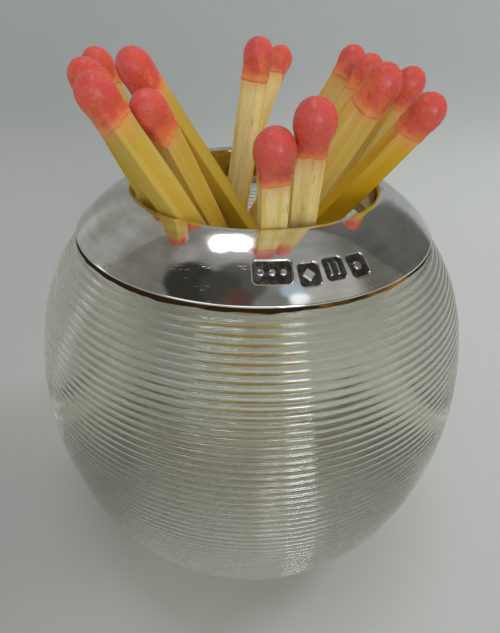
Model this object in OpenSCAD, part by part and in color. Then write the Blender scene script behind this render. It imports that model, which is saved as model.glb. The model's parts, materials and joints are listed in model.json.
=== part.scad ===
// Match striker: a ribbed glass globe with a silver collar, holding wooden matches.
// Millimetres. The origin is the centre of the foot, and +Z is up.
// The front of the object, where the punched marks are, faces -Y.

/* [Glass globe] */
// Width of the globe at its widest
globe_d = 48; // [44:0.5:56]
// Height of the widest place above the foot
belly_z = 20; // [18:0.5:22]
// Radius of the curve from the foot up past the widest place
belly_curve_r = 37; // [34:0.5:40]
// Height where the rounder shoulder takes over
shoulder_z = 31; // [30:0.5:32]
// Radius of the shoulder's curve
shoulder_curve_r = 19.4; // [19:0.1:20]
// Radius of the rounded edge of the flat foot
foot_edge_r = 2; // [1:0.25:3]

/* [Ribs] */
// Distance from one rib to the next, along the glass
rib_pitch = 0.69; // [0.6:0.01:1]
// Depth of the groove between two ribs
rib_depth = 0.12; // [0.08:0.01:0.25]
// Length of plain glass below the lowest rib
plain_band = 1.6; // [1:0.1:4]
// Length of plain glass between the highest rib and the cement
rib_top_gap = 0.2; // [0.1:0.05:1]

/* [Well] */
// Height of the middle of the well's floor above the foot
well_floor_z = 15; // [13:0.5:17]
// Radius of the well where its wall meets the rounded bottom
well_floor_r = 11.2; // [11:0.1:11.6]
// Radius of the rounded bottom of the well
well_corner_r = 9.5; // [7:0.5:10]
// How far the wall of the well stands in from the silver sleeve above it
well_top_step = 0.1; // [0.05:0.05:0.3]
// Distance from the middle of the silver lip down to the glass rim under it
glass_rim_drop = 0.9; // [0.8:0.1:1.5]

/* [Silver collar] */
// Thickness of the silver
silver_t = 0.35; // [0.3:0.05:0.5]
// Height of the collar's lower edge above the foot
collar_edge_z = 39.6; // [38:0.1:40.5]
// Radius of the mouth inside the sleeve
mouth_r = 11.8; // [11.6:0.1:12]
// Radius of the rolled lip
lip_r = 0.5; // [0.45:0.05:0.8]
// Length of the straight sleeve below the lip
sleeve_l = 3; // [2:0.1:4]

/* [Cement] */
// Thickness of the cement between the glass and the silver
cement_t = 0.15; // [0.1:0.05:0.3]
// How far the cement shows below the collar's edge
cement_show = 0.2; // [0.1:0.05:0.5]
// Height of the ring of cement under the end of the sleeve
cement_ring_h = 0.9; // [0.5:0.1:1.5]

/* [Punched marks] */
// Depth of a punched mark
mark_depth = 0.14; // [0.05:0.01:0.2]
// Height of a mark, up the dome
mark_h = 1.9; // [1.4:0.1:2.4]
// Width of the long mark
long_mark_w = 2.9; // [2.2:0.1:3.2]
// Width of a short mark
short_mark_w = 1.6; // [1.2:0.1:1.8]
// Space between two marks
mark_gap = 0.5; // [0.3:0.1:1]
// Angle round the collar to the middle of the long mark, where -90 is the front
first_mark_a = -85; // [-100:1:-80]
// Angle up the dome's curve to the line of marks
mark_up_a = 53; // [51:0.5:55]
// Width of each pip in the long mark
pip_d = 0.5; // [0.3:0.05:0.6]
// Side of the lozenge in the second mark
lozenge_w = 0.75; // [0.5:0.05:0.8]
// Length of each bar in the third mark
bar_l = 1.05; // [0.8:0.05:1.2]
// Width of each bar in the third mark
bar_w = 0.25; // [0.15:0.05:0.35]
// Width of the dot in the last mark
dot_d = 0.7; // [0.4:0.05:0.9]

/* [Matches] */
// Thickness of a square stick
stick_w = 2.1; // [1.8:0.05:2.15]
// Length of a match from its foot to its tip
match_l = 39; // [37:0.5:42]
// Widest place of a head
head_d = 2.9; // [2.8:0.05:3.1]
// Length of a head
head_l = 3.7; // [3.5:0.1:4.6]
// Depth of wood inside a head
wood_in_head = 2.9; // [2.6:0.1:3.1]
// Width of a head where it ends on the stick
head_neck_d = 2.45; // [2.4:0.05:2.7]
// Where a head is fullest, as a share of its length
head_full_at = 0.58; // [0.5:0.01:0.7]
// Space between a match and the glass or silver next to it
match_clearance = 0.15; // [0.1:0.05:0.3]

/* [Hidden] */
MATCH_NAMES = ["01", "02", "03", "04", "05", "06", "07", "08", "09", "10", "11", "12", "13", "14"];
$fn = 96;

// Where each match stands: [share of the floor's free radius, angle of its foot,
// share of the mouth's free radius, angle where it crosses the mouth, turn about itself].
// A flat side turned to the rounded lip may come a little past the free radius.
STANCES = [
    [0.86, 269, 1.05, 184,  16],
    [0.82, 294, 1.03, 206,  -6],
    [0.84, 323, 1.08, 232,  34],
    [0.97,  17, 0.48, 211, -34],
    [0.67,  56, 0.75, 223,  11],
    [0.56, 177, 0.41, 109,  26],
    [1.00, 195, 1.09,  93,  29],
    [0.42,  58, 1.08, 277,  13],
    [0.63,  32, 1.01, 293,  -4],
    [0.98, 160, 1.03,  62, -36],
    [0.85, 149, 0.81,  40, -16],
    [0.85, 198, 0.66, 321, -44],
    [0.69, 104, 1.06,  16,  37],
    [0.88, 119, 1.00, 347,  32]];

// Curves of the globe's side
globe_r = globe_d / 2;
belly_c = [globe_r - belly_curve_r, belly_z];
belly_top_a = asin((shoulder_z - belly_z) / belly_curve_r);
shoulder_c = belly_c + (belly_curve_r - shoulder_curve_r) * [cos(belly_top_a), sin(belly_top_a)];
foot_r = belly_c[0] + sqrt(pow(belly_curve_r - foot_edge_r, 2) - pow(belly_z - foot_edge_r, 2));
belly_foot_a = -asin((belly_z - foot_edge_r) / (belly_curve_r - foot_edge_r));
belly_len = arc_length(belly_curve_r, belly_top_a - belly_foot_a);

// Layers on the shoulder, from the glass out
cement_r = shoulder_curve_r + cement_t;
dome_r = cement_r + silver_t;
edge_a = asin((collar_edge_z - shoulder_c[1]) / dome_r);
cement_edge_a = edge_a - arc_angle(shoulder_curve_r, cement_show);

// The rolled lip is tangent to the dome and to the sleeve
lip_c_r = mouth_r + lip_r;
lip_a = acos((lip_c_r - shoulder_c[0]) / (dome_r - lip_r));
lip_c = [lip_c_r, shoulder_c[1] + (dome_r - lip_r) * sin(lip_a)];
mouth_z = lip_c[1] + lip_r;
sleeve_end_z = lip_c[1] - sleeve_l;
lip_steps = 10;
dome_steps = 16;

// The glass rim under the lip, and the ledge that carries the ring of cement
seat_r = mouth_r + silver_t + cement_t;
glass_rim_z = lip_c[1] - glass_rim_drop;
glass_rim_a = asin((glass_rim_z - shoulder_c[1]) / shoulder_curve_r);
ledge_z = sleeve_end_z - cement_ring_h;
well_top_r = mouth_r - well_top_step;

// The ribs fill the side between the plain band and the cement
rib_space = belly_len + arc_length(shoulder_curve_r, cement_edge_a - belly_top_a) - plain_band - rib_top_gap;
rib_count = floor(rib_space / rib_pitch);
rib_steps = 4;

// The marks from left to right: width, and degrees above the line where each was struck by hand
MARK_WIDTHS = [long_mark_w, short_mark_w, short_mark_w, short_mark_w];
MARK_RISES = [1, 0, 0.5, 0];
mark_ring_r = shoulder_c[0] + dome_r * cos(mark_up_a);

// How far a stick's corner reaches out. A leaning stick is also raised, by a share of its
// width for each unit of its lean's sine, so that its lowest corner clears the floor.
stick_reach = stick_w * sqrt(2) / 2 + match_clearance;
lift_share = 0.4;
floor_free_r = well_floor_r - stick_reach;
mouth_free_r = mouth_r - stick_reach;

function arc_length(r, a) = r * a * PI / 180;
function arc_angle(r, l) = l / r * 180 / PI;

// Points along an arc from angle a0 to angle a1
function arc_points(c, r, a0, a1, steps) =
    [for (i = [0:steps]) let (a = a0 + (a1 - a0) * i / steps) c + r * [cos(a), sin(a)]];

// A point on the globe's side, a length s up from the foot's edge and d in from the surface
function side_point(s, d) =
    s < belly_len
    ? let (a = belly_foot_a + arc_angle(belly_curve_r, s))
        belly_c + (belly_curve_r - d) * [cos(a), sin(a)]
    : let (a = belly_top_a + arc_angle(shoulder_curve_r, s - belly_len))
        shoulder_c + (shoulder_curve_r - d) * [cos(a), sin(a)];

function shoulder_point(r, a) = shoulder_c + r * [cos(a), sin(a)];

// Angle round the collar to the middle of mark i
function mark_round_a(i) = i == 0
    ? first_mark_a
    : mark_round_a(i - 1) + arc_angle(mark_ring_r, (MARK_WIDTHS[i - 1] + MARK_WIDTHS[i]) / 2 + mark_gap);

// Depth of the surface across a rib: 0 on its round crest, rib_depth in the groove
function rib_dip(t) = rib_depth * (1 - sin(180 * t));

function rib_points() =
    [for (k = [0:rib_count - 1]) for (i = [0:rib_steps - 1])
        side_point(plain_band + (k + i / rib_steps) * rib_pitch, rib_dip(i / rib_steps))];

// Height of the well's rounded floor above its middle, a distance r out
function floor_rise(r) =
    let (out = max(0, r - (well_floor_r - well_corner_r)))
    well_corner_r - sqrt(pow(well_corner_r, 2) - pow(out, 2));

// Foot point, lean from upright and direction of each match
function polar(r, a) = [r * cos(a), r * sin(a)];
function foot_xy(s) = polar(s[0] * floor_free_r, s[1]);
function mouth_xy(s) = polar(s[2] * mouth_free_r, s[3]);
function seat_z(s) = well_floor_z + floor_rise(s[0] * floor_free_r + stick_w / 2);
function lean_run(s) = norm(mouth_xy(s) - foot_xy(s));
function lean(s) = atan2(lean_run(s), mouth_z - seat_z(s));
function lean_way(s) = let (d = mouth_xy(s) - foot_xy(s)) atan2(d[1], d[0]);

module glass_globe() {
    rib_end = plain_band + rib_count * rib_pitch;
    rib_end_a = belly_top_a + arc_angle(shoulder_curve_r, rib_end - belly_len);
    color([0.80, 0.83, 0.78, 0.45])
    rotate_extrude()
    polygon(concat(
        [[0, 0]],
        arc_points([foot_r, foot_edge_r], foot_edge_r, -90, belly_foot_a, 6),
        [for (t = [0.25:0.25:0.75]) side_point(plain_band * t, 0)],
        rib_points(),
        [shoulder_point(shoulder_curve_r, rib_end_a)],
        arc_points(shoulder_c, shoulder_curve_r, cement_edge_a, glass_rim_a, dome_steps),
        [[seat_r, glass_rim_z], [seat_r, ledge_z], [well_top_r, ledge_z]],
        arc_points([well_floor_r - well_corner_r, well_floor_z + well_corner_r], well_corner_r, 0, -90, 14),
        [[0, well_floor_z]]));
}

module collar_cement() {
    color([0.33, 0.20, 0.08])
    rotate_extrude()
    polygon(concat(
        [shoulder_point(cement_r, cement_edge_a)],
        arc_points(shoulder_c, cement_r, edge_a, lip_a, dome_steps),
        arc_points(lip_c, lip_r - silver_t, lip_a, 180, lip_steps),
        [[mouth_r + silver_t, sleeve_end_z], [mouth_r, sleeve_end_z], [mouth_r, ledge_z]],
        [[seat_r, ledge_z], [seat_r, glass_rim_z]],
        arc_points(shoulder_c, shoulder_curve_r, glass_rim_a, cement_edge_a, dome_steps)));
}

module silver_collar() {
    color([0.80, 0.80, 0.80])
    difference() {
        rotate_extrude()
        polygon(concat(
            arc_points(shoulder_c, dome_r, edge_a, lip_a, dome_steps),
            arc_points(lip_c, lip_r, lip_a, 180, lip_steps),
            [[mouth_r, sleeve_end_z], [mouth_r + silver_t, sleeve_end_z]],
            arc_points(lip_c, lip_r - silver_t, 180, lip_a, lip_steps),
            arc_points(shoulder_c, cement_r, lip_a, edge_a, dome_steps)));
        punched_marks();
    }
}

// The hollows of the four marks, each with a plain raised figure left standing
module punched_marks() {
    punch(0) row_across(3, long_mark_w, pip_d) circle(d = pip_d);
    punch(1) rotate(45) square(lozenge_w, center = true);
    punch(2) row_across(2, short_mark_w, bar_w) square([bar_l, bar_w], center = true);
    punch(3) circle(d = dot_d);
}

// The hollow of mark i in the dome's surface, around its flat child
module punch(i) {
    rotate([0, 0, mark_round_a(i)])
    translate([shoulder_c[0], 0, shoulder_c[1]])
    rotate([0, 90 - mark_up_a - MARK_RISES[i], 0])
    translate([0, 0, dome_r - mark_depth])
    difference() {
        linear_extrude(2 * mark_depth) square([mark_h, MARK_WIDTHS[i]], center = true);
        translate([0, 0, -mark_depth]) linear_extrude(2 * mark_depth) children();
    }
}

// Copies of a child of the given size, evenly spaced across a width
module row_across(count, width, size) {
    for (i = [0:count - 1])
        translate([0, (i - (count - 1) / 2) * (width + size) / (count + 1)]) children();
}

// Stands its children where match i stands, with +Z along the match
module stand_match(i) {
    s = STANCES[i];
    p = foot_xy(s);
    translate([p[0], p[1], seat_z(s) + match_clearance + lift_share * stick_w * sin(lean(s))])
    rotate([0, lean(s), lean_way(s)])
    rotate([0, 0, s[4]])
    children();
}

module stick_shape() {
    translate([-stick_w / 2, -stick_w / 2, 0])
    cube([stick_w, stick_w, match_l - head_l + wood_in_head]);
}

module match_stick(i) {
    color([0.86, 0.76, 0.50]) stand_match(i) stick_shape();
}

// A head is an egg, fuller towards its tip, dipped over the end of the stick
module match_head(i) {
    full_z = head_l * head_full_at;
    color([0.86, 0.35, 0.34])
    stand_match(i)
    difference() {
        translate([0, 0, match_l - head_l])
        rotate_extrude()
        polygon(concat(
            [[0, 0]],
            [for (t = [0:0.25:0.75])
                [head_neck_d / 2 + (head_d - head_neck_d) / 2 * sin(90 * t), full_z * t]],
            [for (a = [0:11.25:90]) [head_d / 2 * cos(a), full_z + (head_l - full_z) * sin(a)]]));
        stick_shape();
    }
}

glass_globe();
collar_cement();
silver_collar();
for (i = [0:len(MATCH_NAMES) - 1]) {
    match_stick(i);
    match_head(i);
}
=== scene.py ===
import json
import logging
import math
import random
from dataclasses import dataclass
from enum import Enum
from typing import Callable, ClassVar, Iterable, Sequence

import bpy
from bpy.types import Material, Node, NodeSocket, NodeTree, Object
from mathutils import Matrix, Vector, noise

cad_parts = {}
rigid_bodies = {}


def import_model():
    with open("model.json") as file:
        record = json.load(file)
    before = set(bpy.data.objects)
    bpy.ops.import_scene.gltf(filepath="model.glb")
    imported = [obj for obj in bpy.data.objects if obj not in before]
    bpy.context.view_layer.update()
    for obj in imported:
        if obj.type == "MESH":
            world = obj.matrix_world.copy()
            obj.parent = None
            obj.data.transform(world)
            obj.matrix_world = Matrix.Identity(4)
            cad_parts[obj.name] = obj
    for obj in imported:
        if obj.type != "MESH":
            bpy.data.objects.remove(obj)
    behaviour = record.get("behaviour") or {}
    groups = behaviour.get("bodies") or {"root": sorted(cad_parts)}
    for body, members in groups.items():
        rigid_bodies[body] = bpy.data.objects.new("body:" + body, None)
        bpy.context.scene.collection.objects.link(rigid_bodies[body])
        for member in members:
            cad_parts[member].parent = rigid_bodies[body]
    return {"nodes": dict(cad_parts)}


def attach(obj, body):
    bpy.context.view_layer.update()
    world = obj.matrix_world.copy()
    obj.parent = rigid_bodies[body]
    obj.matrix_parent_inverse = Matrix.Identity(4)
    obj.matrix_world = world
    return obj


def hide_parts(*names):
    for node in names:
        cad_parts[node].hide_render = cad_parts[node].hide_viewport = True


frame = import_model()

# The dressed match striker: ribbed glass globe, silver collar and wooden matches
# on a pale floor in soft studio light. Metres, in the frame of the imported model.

LOG = logging.getLogger("striker")
MM = 0.001
ON_AXIS = 1e-9
SQUARENESS = 7
MATCH_COUNT = 14

Point2 = tuple[float, float]
Point3 = tuple[float, float, float]
Colour = tuple[float, float, float, float]
Source = NodeSocket | float | Sequence[float]


class Slot(Enum):
    """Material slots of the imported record."""

    GLASS = "glass"
    SILVER = "silver"
    CEMENT = "cement"
    WOOD = "match_wood"
    HEAD = "match_head"


class Figure(Enum):
    """The plain figures that stand up inside the punched marks."""

    PIPS = "pips"
    LOZENGE = "lozenge"
    BARS = "bars"
    DOT = "dot"


# ---- Node helpers ----


class Tree:
    """Adds and links the nodes of one node tree."""

    def __init__(self, tree: NodeTree) -> None:
        """Empties the tree."""
        self.tree = tree
        tree.nodes.clear()

    def link(self, output: NodeSocket, socket: NodeSocket) -> None:
        """Links an output to an input."""
        self.tree.links.new(output, socket)

    def add(self, kind: str, inputs: dict | None = None, **settings: object) -> Node:
        """Adds a shader node.

        Args:
            kind: The node's type name, without the ShaderNode in front.
            inputs: Values or output sockets for its inputs, by input name or number.
            settings: Properties of the node itself.

        Returns:
            The new node.
        """
        node = self.tree.nodes.new("ShaderNode" + kind)
        for name, value in settings.items():
            setattr(node, name, value)
        for key, value in (inputs or {}).items():
            if isinstance(value, NodeSocket):
                self.link(value, node.inputs[key])
            else:
                node.inputs[key].default_value = value
        return node

    def where(self) -> NodeSocket:
        """The place on the object, in the object's own metres."""
        return self.add("TexCoord").outputs["Object"]

    def value(self, name: str) -> NodeSocket:
        """A number that is stored on the mesh's points."""
        return self.add("Attribute", attribute_name=name).outputs["Fac"]

    def group(self, group: NodeTree, vector: Source, **inputs: Source) -> bpy.types.NodeOutputs:
        """Adds a node group at a vector and returns its outputs."""
        return self.add("Group", {"Vector": vector, **inputs}, node_tree=group).outputs

    def math(self, operation: str, a: Source, b: Source = 0.0, clamp: bool = False) -> NodeSocket:
        """Adds a math node and returns its output."""
        return self.add("Math", {0: a, 1: b}, operation=operation, use_clamp=clamp).outputs[0]

    def times(self, a: Source, b: Source) -> NodeSocket:
        """Multiplies two numbers."""
        return self.math("MULTIPLY", a, b)

    def plus(self, a: Source, b: Source, clamp: bool = False) -> NodeSocket:
        """Adds two numbers."""
        return self.math("ADD", a, b, clamp)

    def minus(self, a: Source, b: Source) -> NodeSocket:
        """Takes the second number from the first."""
        return self.math("SUBTRACT", a, b)

    def vector(self, operation: str, inputs: dict) -> NodeSocket:
        """Adds a vector math node and returns its vector."""
        return self.add("VectorMath", inputs, operation=operation).outputs[0]

    def join(self, inputs: dict) -> NodeSocket:
        """Makes a vector from numbers."""
        return self.add("CombineXYZ", inputs).outputs[0]

    def part(self, vector: Source, axis: str) -> NodeSocket:
        """One number of a vector."""
        return self.add("SeparateXYZ", {0: vector}).outputs[axis]

    def ramp(self, value: Source, low: float, high: float,
             to_low: float = 0.0, to_high: float = 1.0) -> NodeSocket:
        """Eases a value from one range into another, clamped."""
        ends = {"From Min": low, "From Max": high, "To Min": to_low, "To Max": to_high}
        node = self.add("MapRange", {"Value": value, **ends}, interpolation_type="SMOOTHSTEP")
        return node.outputs["Result"]

    def mix(self, factor: Source, a: Source, b: Source) -> NodeSocket:
        """Mixes two colours."""
        return self.add("Mix", {0: factor, 6: a, 7: b}, data_type="RGBA").outputs[2]

    def noise(self, vector: Source, scale: float,
              detail: float = 2.0, rough: float = 0.5) -> NodeSocket:
        """A noise texture's value."""
        inputs = {"Vector": vector, "Scale": scale, "Detail": detail, "Roughness": rough}
        return self.add("TexNoise", inputs).outputs[0]

    def stretch(self, vector: Source, scale: Point3, turn: Point3 = (0, 0, 0)) -> NodeSocket:
        """Scales and turns a texture vector."""
        return self.add("Mapping", {"Vector": vector, "Scale": scale, "Rotation": turn}).outputs[0]

    def bump(self, strength: float, distance: float, height: Source) -> NodeSocket:
        """The normal that a height gives."""
        inputs = {"Strength": strength, "Distance": distance, "Height": height}
        return self.add("Bump", inputs).outputs[0]


class Surface(Tree):
    """The node tree of a new material."""

    def __init__(self, name: str) -> None:
        """Makes the material, with its nodes still to come.

        Args:
            name: The material's name.
        """
        self.material = bpy.data.materials.new(name)
        self.material.use_nodes = True
        super().__init__(self.material.node_tree)

    def close(self, shader: Node) -> Material:
        """Sends a shader to the material's output and returns the material."""
        self.link(shader.outputs[0], self.add("OutputMaterial").inputs["Surface"])
        return self.material


class Group(Tree):
    """The node tree of a new shader node group."""

    def __init__(self, name: str, inputs: dict[str, float], outputs: dict[str, str]) -> None:
        """Makes the group with its sockets.

        Args:
            name: The group's name.
            inputs: Its number inputs and their defaults. A Vector input comes before them.
            outputs: Its outputs, name to kind, such as Float.
        """
        group = bpy.data.node_groups.new(name, "ShaderNodeTree")
        super().__init__(group)
        face = group.interface
        face.new_socket("Vector", in_out="INPUT", socket_type="NodeSocketVector")
        for key, value in inputs.items():
            face.new_socket(key, in_out="INPUT", socket_type="NodeSocketFloat").default_value = value
        for key, kind in outputs.items():
            face.new_socket(key, in_out="OUTPUT", socket_type="NodeSocket" + kind)
        self.given = group.nodes.new("NodeGroupInput").outputs
        self.out = group.nodes.new("NodeGroupOutput").inputs

    def moved(self, spread: float) -> NodeSocket:
        """The group's vector, shifted by its seed so that no two pieces look the same.

        Args:
            spread: How far one unit of the seed shifts it.

        Returns:
            The shifted vector.
        """
        seed = self.times(self.given["Seed"], spread)
        return self.vector("ADD", {0: self.given["Vector"], 1: self.join({0: seed, 1: seed, 2: seed})})

    def close(self, results: dict[str, NodeSocket]) -> NodeTree:
        """Sends the results to the group's outputs.

        Args:
            results: An output socket for each of the group's outputs, by name.

        Returns:
            The group.
        """
        for name, socket in results.items():
            self.link(socket, self.out[name])
        return self.tree


# The patterns of the node groups. A scale counts the waves in a metre.
HAIR_LINES = (((0.3, 0.2, 0.5), 60.0, 5200.0), ((1.1, 0.4, 2.2), 90.0, 6400.0),
              ((0.7, 1.3, 1.2), 40.0, 4300.0), ((2.0, 0.9, 0.1), 130.0, 7000.0))
HAIR_PATCH_SCALE, CLOUD_SCALE = 190.0, 320.0
FINE_LINE_ROUND, FINE_LINE_SCALE = 2.6, 5200.0
STREAK_ROUND, STREAK_SCALE = 3.4, 900.0
FIBRE_SCALE, BAND_SCALE, PORE_SCALE = (7000, 7000, 260), (1300, 1300, 45), (11000, 11000, 700)
GRIT_SCALE, LUMP_SCALE, BEAD_SCALE, PIT_SCALE, PIT_PATCH_SCALE = 5200.0, 780.0, 2700.0, 1500.0, 640.0
# How far one unit of a piece's seed shifts its wood grain and its dip
GRAIN_SPREAD, DIP_SPREAD = 3.7, 5.3


def scratch_group() -> NodeTree:
    """Fine hair scratches in patches, and a cloudy value.

    Returns:
        The group, with the outputs Mask and Cloud.
    """
    tree = Group("FineScratches", {}, {"Mask": "Float", "Cloud": "Float"})
    place = tree.given["Vector"]
    total: Source = 0.0
    for turn, length, across in HAIR_LINES:
        line = tree.noise(tree.stretch(place, (length, across, across), turn), 1.0, 1.0)
        total = tree.math("MAXIMUM", total, tree.ramp(line, 0.70, 0.76))
    patch = tree.ramp(tree.noise(place, HAIR_PATCH_SCALE), 0.42, 0.62)
    return tree.close({"Mask": tree.times(total, patch), "Cloud": tree.noise(place, CLOUD_SCALE, 3.0)})


def turned_group() -> NodeTree:
    """Fine lines round the Z axis, as polishing on a lathe leaves them.

    Returns:
        The group, with the outputs Line and Streak.
    """
    tree = Group("TurnedLines", {}, {"Line": "Float", "Streak": "Float"})
    x, y, z = (tree.part(tree.given["Vector"], axis) for axis in "XYZ")
    round_a = tree.math("ARCTAN2", y, x)
    radius = tree.math("SQRT", tree.plus(tree.times(x, x), tree.times(y, y)))
    along = tree.minus(radius, z)
    fine = tree.join({0: tree.times(round_a, FINE_LINE_ROUND), 1: tree.times(along, FINE_LINE_SCALE)})
    wide = tree.join({0: tree.times(round_a, STREAK_ROUND), 1: tree.times(along, STREAK_SCALE)})
    return tree.close({"Line": tree.noise(fine, 1.0), "Streak": tree.noise(wide, 1.0, 3.0)})


def grain_group() -> NodeTree:
    """Split wood: long fibres along Z, with a few dark pores.

    Returns:
        The group, with the outputs Fibre, Band and Pore.
    """
    tree = Group("SplitGrain", {"Seed": 0.0}, {"Fibre": "Float", "Band": "Float", "Pore": "Float"})
    moved = tree.moved(GRAIN_SPREAD)
    pore = tree.noise(tree.stretch(moved, PORE_SCALE), 1.0, 1.0)
    return tree.close({"Fibre": tree.noise(tree.stretch(moved, FIBRE_SCALE), 1.0, 3.0, 0.6),
                       "Band": tree.noise(tree.stretch(moved, BAND_SCALE), 1.0),
                       "Pore": tree.ramp(pore, 0.66, 0.74)})


def grit_group() -> NodeTree:
    """A dried dip: fine grit, soft lumps, small round grains and pits.

    Returns:
        The group, with the outputs Grit, Lump, Pit and Grain.
    """
    tree = Group("DriedDip", {"Seed": 0.0},
                 {"Grit": "Float", "Lump": "Float", "Pit": "Float", "Grain": "Float"})
    moved = tree.moved(DIP_SPREAD)
    cells = (tree.add("TexVoronoi", {"Vector": moved, "Scale": scale}, feature="F1")
             for scale in (BEAD_SCALE, PIT_SCALE))
    bead, cell = (node.outputs["Distance"] for node in cells)
    some = tree.ramp(tree.noise(moved, PIT_PATCH_SCALE, 1.0), 0.60, 0.64)
    return tree.close({"Grit": tree.noise(moved, GRIT_SCALE, 4.0, 0.66),
                       "Lump": tree.noise(moved, LUMP_SCALE),
                       "Grain": tree.ramp(bead, 0.10, 0.62, 1.0, 0.0),
                       "Pit": tree.times(tree.ramp(cell, 0.16, 0.06), some)})


def rib_group() -> NodeTree:
    """The normal of a full round rib, from the globe's "rib" and "lean" values.

    Returns:
        The group, with the outputs Normal and Ribbed.
    """
    tree = Group("RoundRibs", {"Steepness": 1.32}, {"Normal": "Vector", "Ribbed": "Float"})
    count, lean = tree.value("rib"), tree.value("lean")
    place = tree.minus(tree.times(tree.math("FRACT", count), 2.0), 1.0)
    up = tree.plus(lean, tree.times(place, tree.given["Steepness"]))
    flat = tree.vector("MULTIPLY", {0: tree.given["Vector"], 1: (1.0, 1.0, 0.0)})
    flat = tree.vector("NORMALIZE", {0: flat})
    side = tree.vector("SCALE", {0: flat, "Scale": tree.math("COSINE", up)})
    rise = tree.join({2: tree.math("SINE", up)})
    return tree.close({"Normal": tree.vector("ADD", {0: side, 1: rise}),
                       "Ribbed": tree.ramp(count, 0.0, 0.01)})


# ---- Finishes ----
# In every finish the pairs of numbers of a ramp are thresholds of a pattern from 0 to 1,
# and the numbers after them are what the pattern becomes below and above.


@dataclass(frozen=True)
class GlassFinish:
    """Clear pressed glass with a faint grey-green tone."""

    ribs: NodeTree
    tint: Colour = (0.915, 0.908, 0.785, 1.0)
    shade: Colour = (0.66, 0.66, 0.61, 1.0)
    rough: float = 0.08
    ior: float = 1.5
    wave: float = 0.015
    wave_scale: Point3 = (260, 260, 900)
    wave_depth: float = 0.05 * MM
    skin_ior: float = 1.6
    skin_rough: float = 0.03

    def build(self) -> Material:
        """Makes the refraction, a crisp skin, and a light shadow in place of caustics.

        Returns:
            The material.
        """
        tree = Surface("pressed_glass")
        where = tree.where()
        ripple = tree.noise(tree.stretch(where, self.wave_scale), 1.0)
        round_rib = tree.group(self.ribs, where)
        outside = tree.minus(1.0, tree.add("NewGeometry").outputs["Backfacing"])
        glass = tree.add("BsdfPrincipled", {
            "Base Color": self.tint, "Roughness": self.rough, "IOR": self.ior,
            "Transmission Weight": 1.0, "Normal": tree.bump(self.wave, self.wave_depth, ripple),
            "Coat Weight": tree.times(round_rib["Ribbed"], outside), "Coat Roughness": self.skin_rough,
            "Coat IOR": self.skin_ior, "Coat Normal": round_rib["Normal"]})
        clear = tree.add("BsdfTransparent", {"Color": self.shade})
        shadow = tree.add("LightPath").outputs["Is Shadow Ray"]
        return tree.close(tree.add("MixShader", {0: shadow, 1: glass.outputs[0], 2: clear.outputs[0]}))


@dataclass(frozen=True)
class SilverFinish:
    """Polished silver with wear scratches, dark tarnish in the marks, and a painted amber reflection of
    the matches on the sleeve.
    """

    scratches: NodeTree
    turned: NodeTree
    bright: Colour = (0.93, 0.925, 0.91, 1.0)
    dull: Colour = (0.62, 0.605, 0.55, 1.0)
    tarnish: Colour = (0.060, 0.058, 0.052, 1.0)
    # Painted reflection: amber on the sleeve inside the mouth, as if it mirrored the matches.
    sleeve: Colour = (0.62, 0.42, 0.14, 1.0)
    cloud_scale: Point3 = (150, 150, 60)
    stain_scale: float = 2600.0
    line_depth: float = 0.02 * MM

    def build(self) -> Material:
        """Makes the material from the scratches, the turned lines and the piece's own values.

        Returns:
            The material.
        """
        tree = Surface("polished_silver")
        where = tree.where()
        marks = tree.group(self.scratches, where)
        lines = tree.group(self.turned, where)
        streak = tree.ramp(lines["Streak"], 0.35, 0.70)
        dark = tree.value("tarnish")
        large = tree.noise(tree.stretch(where, self.cloud_scale), 1.0, 3.0, 0.6)
        large = tree.ramp(large, 0.46, 0.66, 0.0, 0.7)
        cloudy = tree.plus(large, tree.ramp(marks["Cloud"], 0.35, 0.75, 0.0, 0.3), clamp=True)
        cloudy = tree.plus(cloudy, tree.times(streak, 0.35), clamp=True)
        colour = tree.mix(cloudy, self.bright, self.dull)
        # Painted reflection: the sleeve's rows are tinted amber, standing in for the mirrored matches.
        colour = tree.mix(tree.value("sleeve"), colour, self.sleeve)
        stain = tree.times(dark, tree.ramp(tree.noise(where, self.stain_scale), 0.36, 0.70, 1.0, 0.86))
        colour = tree.mix(stain, colour, self.tarnish)
        rough = tree.ramp(marks["Cloud"], 0.3, 0.8, 0.05, 0.12)
        rough = tree.plus(rough, tree.times(marks["Mask"], 0.22))
        rough = tree.plus(rough, tree.times(dark, 0.30))
        rough = tree.plus(rough, tree.times(streak, 0.04))
        height = tree.minus(tree.times(marks["Cloud"], 0.5), marks["Mask"])
        height = tree.plus(height, tree.times(lines["Line"], 0.25))
        return tree.close(tree.add("BsdfPrincipled", {
            "Base Color": colour, "Metallic": 1.0, "Roughness": rough,
            "Normal": tree.bump(0.16, self.line_depth, height)}))


@dataclass(frozen=True)
class CementFinish:
    """Pale plaster, dark brown with amber patches along its open edge."""

    plaster: Colour = (0.62, 0.60, 0.50, 1.0)
    dark: Colour = (0.032, 0.015, 0.005, 1.0)
    amber: Colour = (0.36, 0.16, 0.025, 1.0)
    patch_scale: float = 170.0
    patch_from: float = -5 * MM
    patch_full: float = 1 * MM
    grit_scale: float = 3000.0
    grit_depth: float = 0.05 * MM

    def build(self) -> Material:
        """Makes the material. The amber patches lie to the right of the front.

        Returns:
            The material.
        """
        tree = Surface("old_cement")
        where = tree.where()
        patch = tree.ramp(tree.noise(where, self.patch_scale), 0.55, 0.68)
        patch = tree.times(patch, tree.ramp(tree.part(where, "X"), self.patch_from, self.patch_full))
        grit = tree.noise(where, self.grit_scale, 3.0)
        colour = tree.mix(tree.value("edge"), self.plaster, tree.mix(patch, self.dark, self.amber))
        return tree.close(tree.add("BsdfPrincipled", {
            "Base Color": colour, "Specular IOR Level": 0.1,
            "Roughness": tree.ramp(grit, 0.3, 0.7, 0.6, 0.9),
            "Normal": tree.bump(0.5, self.grit_depth, grit)}))


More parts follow.
